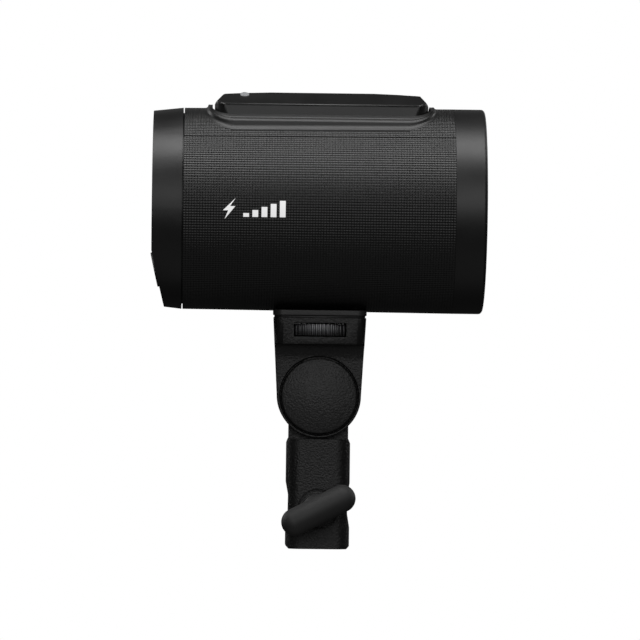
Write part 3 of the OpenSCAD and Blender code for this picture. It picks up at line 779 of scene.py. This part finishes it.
# %% Printed sign
white_ink_with_painted_glow = moulded_plastic("white_pad_printing_ink_with_painted_glow", ("#f4f4f4", "#fbfbfb"), 0.5, 0.6, 0.004)
ink_shader_with_painted_glow = white_ink_with_painted_glow.node_tree.nodes["Principled BSDF"]
# Painted glow: the white ink is given a faint white emission, so the print shows bright whatever light
# falls on it.
ink_shader_with_painted_glow.inputs["Emission Color"].default_value = linear("#ffffff")
ink_shader_with_painted_glow.inputs["Emission Strength"].default_value = 0.45
bolt_outline = [(2.6, 4.2), (-2.4, -0.7), (-0.3, -0.7), (-1.7, -4.2), (2.5, 1.0), (0.4, 1.0)]
sign_low, sign_x, sign_angle = 3.2, -37.0, 91
bar_pitch, bar_width, first_bar, bar_rise = 3.6, 2.3, 1.5, 1.25
ink_thickness = 0.05


def flat_shape(bm, corners, x, arc):
    """One face from its corners, round a place on a flat sheet."""
    face = bm.faces.new([bm.verts.new((x + cx, arc + cy, 0)) for cx, cy in corners])
    bmesh.ops.triangulate(bm, faces=[face])


def printed_sign():
    """The bolt and the five bars, as ink that follows the casing's curve."""
    bm = bmesh.new()
    arc = math.radians(sign_angle) * middle_radius
    flat_shape(bm, [(x, -y) for x, y in bolt_outline], sign_x, arc)
    for bar in range(5):
        half, top = bar_width / 2, sign_low - first_bar - bar_rise * bar
        flat_shape(bm, [(-half, sign_low), (half, sign_low), (half, top), (-half, top)],
                   sign_x + 6.8 + bar * bar_pitch, arc)
    for strip in range(-9, 10):
        bmesh.ops.bisect_plane(bm, geom=[*bm.verts, *bm.edges, *bm.faces],
                               plane_co=(0, arc + strip / 2, 0), plane_no=(0, 1, 0))
    thicken(bm, ink_thickness)
    for vert in bm.verts:
        vert.co = bent(vert.co)
    bmesh.ops.recalc_face_normals(bm, faces=bm.faces)
    return bm


finished("printed_power_sign", printed_sign(), "head", "light_guide", white_ink_with_painted_glow)


# %% [markdown]
# ## The seam under the saddle
#
# Between the saddle and the bracket lies a thin dark gasket. It is set back a little from both, which
# draws the fine line that runs round the joint, and at the ends it keeps light from passing through.

# %% Saddle gasket
fork_high = box_mm("fork_bracket")[1]
gasket_end_inset, gasket_side_inset, gasket_thickness = 0.35, 1.1, 0.78
gasket = bmesh.new()
bmesh.ops.create_grid(gasket, x_segments=1, y_segments=1, size=1)
gasket_corners = list(gasket.verts)
bmesh.ops.scale(gasket, vec=(fork_high.x - gasket_end_inset, fork_high.y - gasket_side_inset, 1),
                verts=gasket_corners)
bmesh.ops.bevel(gasket, geom=gasket_corners, offset=3.6, offset_type="OFFSET", affect="VERTICES",
                segments=8, profile=0.5, material=-1, clamp_overlap=True)
bmesh.ops.solidify(gasket, geom=list(gasket.faces), thickness=-gasket_thickness)
bmesh.ops.translate(gasket, vec=(0, 0, fork_high.z + 0.01), verts=gasket.verts)
bmesh.ops.recalc_face_normals(gasket, faces=gasket.faces)
print(f"gasket {gasket_thickness} mm thick at {fork_high.z:.1f} mm")
finished("saddle_gasket", gasket, "head", "chassis_plastic", black_nylon)


# %% [markdown]
# ## The floor of the release slot
#
# The release slider leaves part of its slot open at rest. A thin black liner lies under it, so that
# the slot ends in plastic and the cells stay hidden.

# %% Slot liner
liner = bmesh.new()
bmesh.ops.create_grid(liner, x_segments=1, y_segments=1, size=0.5)
liner_middle = (slider_low + slider_high) / 2
bmesh.ops.scale(liner, vec=(slider_high.x - slider_low.x + 6, slider_high.y - slider_low.y, 1),
                verts=liner.verts)
bmesh.ops.solidify(liner, geom=list(liner.faces), thickness=0.2)
bmesh.ops.translate(liner, vec=(liner_middle.x, liner_middle.y, slider_low.z - 0.15),
                    verts=liner.verts)
bmesh.ops.recalc_face_normals(liner, faces=liner.faces)
finished("slider_slot_liner", liner, "battery", "chassis_plastic", black_nylon)


# %% [markdown]
# ## Signs on the keys
#
# The two keys beside the dial carry a small printed sign each: the usual broken ring for power and
# the flash bolt for a test flash. They lie on the slanted panel, so a matrix made from the panel's
# own directions sets them down on the key's face.

# %% Key signs
panel_tilt = math.radians(12.5)
panel_normal = Vector((-math.cos(panel_tilt), 0, -math.sin(panel_tilt)))
panel_up = Vector((-math.sin(panel_tilt), 0, math.cos(panel_tilt)))


def on_key(bm, node):
    """Gives flat shapes a thickness and lays them on a key's face."""
    thicken(bm, 0.04)
    face_middle = sum(box_mm(node), Vector()) / 2
    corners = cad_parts[node].data.vertices
    face_height = max(corner.co.dot(panel_normal) for corner in corners) / MM
    face_middle += panel_normal * (face_height - face_middle.dot(panel_normal) + 0.005)
    turn = Matrix((panel_up.cross(panel_normal), panel_up, panel_normal)).transposed().to_4x4()
    bmesh.ops.transform(bm, matrix=Matrix.Translation(face_middle) @ turn, verts=bm.verts)
    bmesh.ops.recalc_face_normals(bm, faces=bm.faces)
    return bm


def power_sign():
    """A ring with a gap at the top and a stroke in the gap."""
    bm = bmesh.new()
    ends = [bm.verts.new((0, radius, 0)) for radius in (1.25, 1.6)]
    start_edge = bm.edges.new(ends)
    half_gap = math.radians(35)
    bmesh.ops.rotate(bm, cent=(0, 0, 0), matrix=Matrix.Rotation(half_gap, 3, "Z"), verts=ends)
    bmesh.ops.spin(bm, geom=[*ends, start_edge], cent=(0, 0, 0), axis=(0, 0, 1),
                   angle=2 * (math.pi - half_gap), steps=30)
    flat_shape(bm, [(-0.18, 0.4), (0.18, 0.4), (0.18, 1.9), (-0.18, 1.9)], 0, 0)
    return bm


def test_sign():
    """The bolt of the printed sign, a little over half as large."""
    bm = bmesh.new()
    flat_shape(bm, [(x * 0.55, y * 0.55) for x, y in bolt_outline], 0, 0)
    return bm


for key, sign in (("power", power_sign()), ("test", test_sign())):
    finished(f"{key}_key_sign", on_key(sign, f"{key}_button"), f"{key}_key", "button_plastic",
             white_ink_with_painted_glow)


# %% [markdown]
# ## The domed cap
#
# The cap over the tilt axle is a turned disc. Its face is not flat but slightly domed, so that it
# shades from light at the top to dark at the bottom.

# %% Domed cap
axle_cap_low, axle_cap_high = box_mm("axle_cap")
tilt_z = (axle_cap_low.z + axle_cap_high.z) / 2
dome_height = 1.8


def domed_cap():
    """The tilt axle's cap: a dome, a rounded rim and a flat back."""
    radius = (axle_cap_high.x - axle_cap_low.x) / 2
    dome_radius = (radius**2 + dome_height**2) / (2 * dome_height)
    dome = []
    for step in range(13):
        r = step / 12 * (radius - 0.55)
        dome.append((r, axle_cap_low.y + dome_radius - math.sqrt(dome_radius**2 - r**2)))
    rim_y = dome[-1][1]
    rim = [(radius - 0.3, rim_y + 0.08), (radius - 0.1, rim_y + 0.25), (radius, rim_y + 0.5),
           (radius, axle_cap_high.y), (0, axle_cap_high.y)]
    bm = bmesh.new()
    turned(bm, dome + rim)
    bmesh.ops.translate(bm, vec=(0, 0, tilt_z), verts=bm.verts)
    return bm


finished("axle_cap_domed", domed_cap(), "head", "moulded_abs", fine_grain_abs, ["axle_cap"])


# %% [markdown]
# ## The thumbwheel
#
# The wheel that screws the head to the adapter shows through a window. Its rim is cut into flat
# topped ribs about 1.6 mm apart, so a thumb can drag it round. A circle with eight points to a rib has
# the gaps pressed in, and is then raised to the wheel's height. Two thin nylon washers fill the play
# above and below it.

# %% Thumbwheel and washers
wheel_radius = (wheel_high.x - wheel_low.x) / 2
rib_count = 60
rib_shape = [1.0, 1.0, 0.92, 0.15, 0.0, 0.0, 0.15, 0.92]
rib_depth = 0.75


def ribbed_wheel():
    """A disc with ribs round its rim and softened ends to each rib."""
    bm = bmesh.new()
    points = rib_count * len(rib_shape)
    rim = bmesh.ops.create_circle(bm, cap_ends=True, segments=points, radius=wheel_radius)["verts"]
    for vert in rim:
        place = round(math.atan2(vert.co.y, vert.co.x) / (2 * math.pi) * points)
        vert.co *= (wheel_radius - rib_depth * (1 - rib_shape[place % len(rib_shape)])) / wheel_radius
    thicken(bm, wheel_high.z - wheel_low.z)
    bmesh.ops.translate(bm, vec=(0, 0, wheel_low.z), verts=bm.verts)
    bmesh.ops.recalc_face_normals(bm, faces=bm.faces)
    ends = [e for e in bm.edges if e.is_manifold and 80 < math.degrees(e.calc_face_angle()) < 100
            and abs(e.verts[0].co.z - e.verts[1].co.z) < 0.01]
    bmesh.ops.bevel(bm, geom=ends, offset=0.2, offset_type="OFFSET", affect="EDGES", segments=2,
                    profile=0.5, material=-1, clamp_overlap=True)
    return bm


def washer(bottom, top):
    """A thin ring round the head's stud, lying flat."""
    bore, rim = 3.4, 12.0
    bm = bmesh.new()
    turned(bm, [(bore, bottom), (rim - 0.2, bottom), (rim, (bottom + top) / 2), (rim - 0.2, top),
                (bore, top), (bore, bottom)])
    swing(bm, 90, "X")
    return bm


finished("thumbwheel_ribbed", ribbed_wheel(), "thumbwheel", "black_wheel", black_wheel, ["thumbwheel"])
for side, bottom, top in (("low", wheel_low.z - 0.38, wheel_low.z - 0.02),
                          ("high", wheel_high.z + 0.02, wheel_high.z + 0.45)):
    finished(f"wheel_washer_{side}", washer(bottom, top), "head", "chassis_plastic", black_nylon)


# %% [markdown]
# ## The bar handles
#
# The stand clamp and the tilt lock are turned with the same soft-coated bar. A ball whose two halves
# are pulled apart is a perfect capsule, with round ends that catch the light. Its stem is a profile
# spun round the screw's axis, widest just above the foot and narrower where it meets the bar.

# %% Bar handle
bar_length, bar_thickness = 31.8, 11.0


def bar_handle(bar_y, stem, angle, pivot):
    """A capsule bar at a distance along Y and its stem, turned about the Y axis at a pivot."""
    bm = bmesh.new()
    bmesh.ops.create_uvsphere(bm, u_segments=48, v_segments=32, radius=bar_thickness / 2,
                              matrix=Matrix.Rotation(math.radians(90), 4, "Y"))
    reach = (bar_length - bar_thickness) / 2
    for vert in bm.verts:
        if abs(vert.co.x) > 0.01:
            vert.co.x += math.copysign(reach, vert.co.x)
    bmesh.ops.translate(bm, vec=(0, bar_y, 0), verts=bm.verts)
    turned(bm, stem, 48)
    swing(bm, angle, "Y")
    bmesh.ops.translate(bm, vec=pivot, verts=bm.verts)
    return bm


# %% Both handles
shoe_low, shoe_high = box_mm("clamp_shoe")
clamp_z = (shoe_low.z + shoe_high.z) / 2
clamp_front, clamp_foot = (corner.y for corner in box_mm("clamp_grip"))
lock_foot, lock_front = (corner.y for corner in box_mm("lock_grip"))
# Each stem's outline: radius, and how far from the foot towards the bar
clamp_stem = [(0, 0), (5.2, 0), (6.0, 0.15), (6.35, 0.6), (6.35, 1.4), (5.6, 2.4), (5.2, 4.0), (0, 4.0)]
lock_stem = [(0, 0), (5.2, 0), (7.2, 0), (7.8, 0.5), (7.9, 1.6), (7.0, 3.0), (5.6, 4.6), (5.2, 6.0),
             (0, 6.0)]
clamp_bar = bar_handle(clamp_front + bar_thickness / 2, [(r, clamp_foot - y) for r, y in clamp_stem],
                       -27.3, (0, 0, clamp_z))
lock_bar = bar_handle(lock_front - bar_thickness / 2, [(r, lock_foot + y) for r, y in lock_stem],
                      20, (0, 0, tilt_z))
finished("clamp_grip_coated", clamp_bar, "clamp_handle", "soft_grip", soft_touch, ["clamp_grip"])
finished("lock_grip_coated", lock_bar, "lock_handle", "soft_grip", soft_touch, ["lock_grip"])


# %% [markdown]
# ## The floor
#
# The pale floor lies well below, because the head is held up on a stand that isn't shown. It and the
# shell round the scene glow evenly, as an over-lit paper sweep does in a studio.

# %% Floor and backdrop
def paper(name, colour):
    """White paper that glows evenly and shines nowhere."""
    material, shader = start(name)
    shader.inputs["Base Color"].default_value = linear("#000000")
    shader.inputs["Specular IOR Level"].default_value = 0.0
    shader.inputs["Emission Color"].default_value = linear(colour)
    shader.inputs["Emission Strength"].default_value = 1.0
    return material


def stage_piece(name, bm, material):
    """Part of the studio. Only the camera sees it: it gives no light and shows in no reflection."""
    piece = made_object(name, bm, material)
    piece.visible_diffuse = piece.visible_glossy = piece.visible_transmission = False
    piece.visible_shadow = piece.visible_volume_scatter = False


floor_bm = bmesh.new()
bmesh.ops.create_circle(floor_bm, cap_ends=True, segments=64, radius=4,
                        matrix=Matrix.Translation((0, 0, -0.4)))
stage_piece("floor", floor_bm, paper("white_paper_floor", "#fefefe"))
backdrop_bm = bmesh.new()
bmesh.ops.create_icosphere(backdrop_bm, subdivisions=4, radius=5)
bmesh.ops.reverse_faces(backdrop_bm, faces=backdrop_bm.faces)
stage_piece("backdrop", backdrop_bm, paper("white_paper_backdrop", "#ffffff"))
